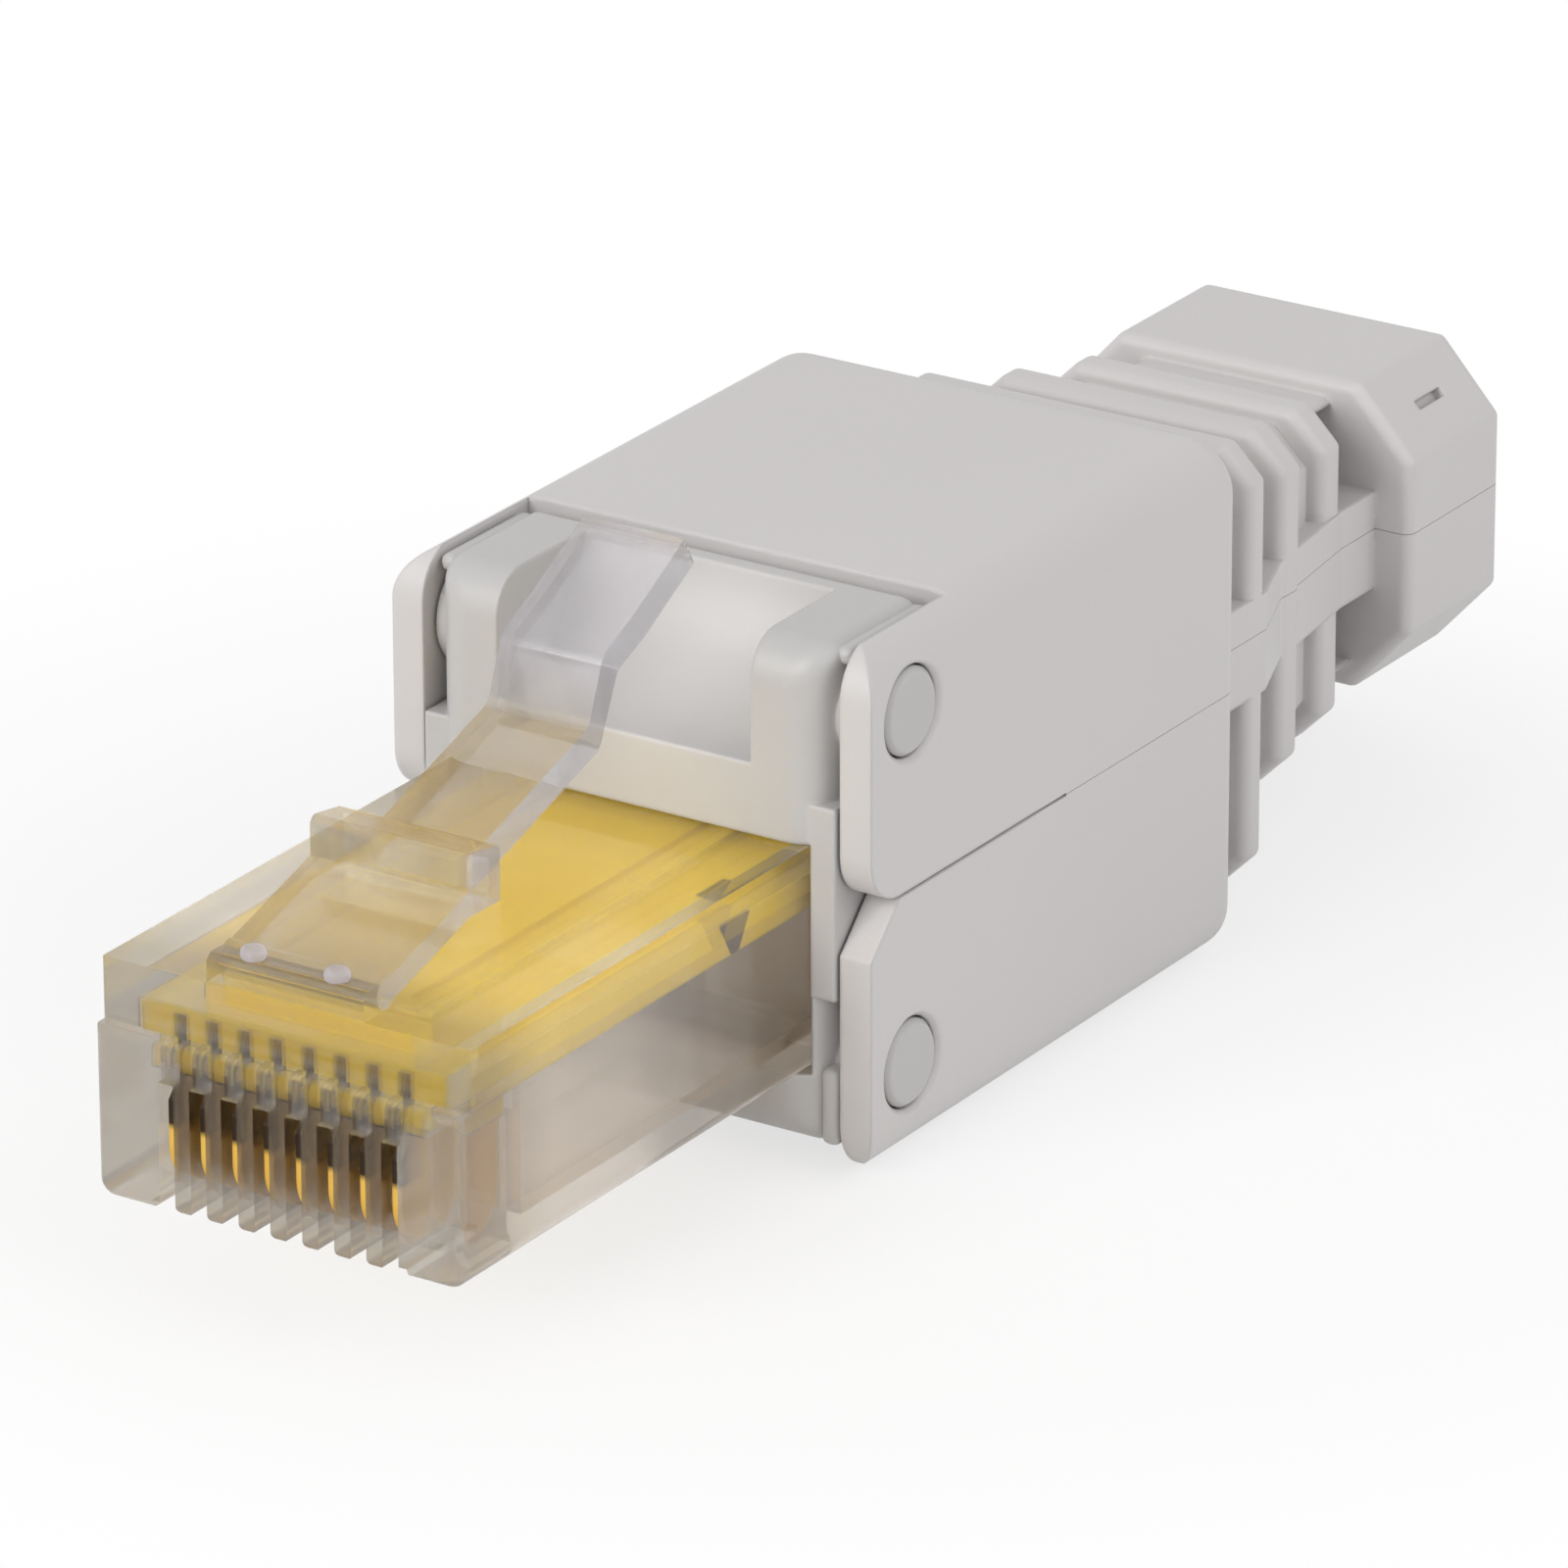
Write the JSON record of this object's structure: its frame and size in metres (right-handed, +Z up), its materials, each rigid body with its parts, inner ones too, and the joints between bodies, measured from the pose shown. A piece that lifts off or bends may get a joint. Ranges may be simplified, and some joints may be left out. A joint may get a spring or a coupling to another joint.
{
  "type": "rj45 modular plug",
  "caption": "Field-terminated modular plug with a clear latched nose, two hinged housing covers and a ribbed octagonal cable tail.",
  "frame": {"origin": "middle of the closed plug's box across and along, on the flat underside of the lower cover", "axes": "+X across the plug to the right seen from the cable end's opposite, the nose; +Y from the nose to the cable end; +Z up, the latch side"},
  "size_m": [0.0154, 0.054, 0.0174],
  "materials": {
    "housing_plastic": "fine satin moulded polycarbonate, pale warm grey",
    "frame_plastic": "satin moulded polycarbonate, a little lighter than the covers",
    "clear_plastic": "clear polycarbonate with a slight warm haze",
    "yellow_plastic": "yellow moulded plastic",
    "gold_plate": "gold plate over nickel on bronze",
    "tinned_bronze": "tin plate on bronze",
    "board_laminate": "green solder mask on glass-fibre laminate",
    "insert_plastic": "satin moulded plastic"
  },
  "bodies": {
    "base": {"frame": "frame_plastic", "front_shell": "clear_plastic", "contact_carrier": "yellow_plastic", "circuit_board": "board_laminate", "contact_1": "gold_plate", "contact_2": "gold_plate", "contact_3": "gold_plate", "contact_4": "gold_plate", "contact_5": "gold_plate", "contact_6": "gold_plate", "contact_7": "gold_plate", "contact_8": "gold_plate", "upper_terminal_1": "tinned_bronze", "upper_terminal_2": "tinned_bronze", "upper_terminal_3": "tinned_bronze", "upper_terminal_4": "tinned_bronze", "lower_terminal_1": "tinned_bronze", "lower_terminal_2": "tinned_bronze", "lower_terminal_3": "tinned_bronze", "lower_terminal_4": "tinned_bronze", "upper_terminal_block": "insert_plastic", "lower_terminal_block": "insert_plastic"},
    "latch_arm": {"latch": "clear_plastic"},
    "upper_cover": {"top_cover": "housing_plastic", "upper_wire_guide": "insert_plastic"},
    "lower_cover": {"bottom_cover": "housing_plastic", "lower_wire_guide": "insert_plastic"}
  },
  "joints": [
    {"name": "latch_press", "type": "hinge", "parent": "base", "child": "latch_arm", "pos_m": [0, -0.0255, 0.01005], "axis": [-1, 0, 0], "range_deg": [0, 8], "stiffness_Nm_per_rad": 0.4},
    {"name": "top_cover_hinge", "type": "hinge", "parent": "base", "child": "upper_cover", "pos_m": [0, -0.00815, 0.01315], "axis": [1, 0, 0], "range_deg": [0, 60]},
    {"name": "bottom_cover_hinge", "type": "hinge", "parent": "base", "child": "lower_cover", "pos_m": [0, -0.00815, 0.00285], "axis": [-1, 0, 0], "range_deg": [0, 75]}
  ]
}
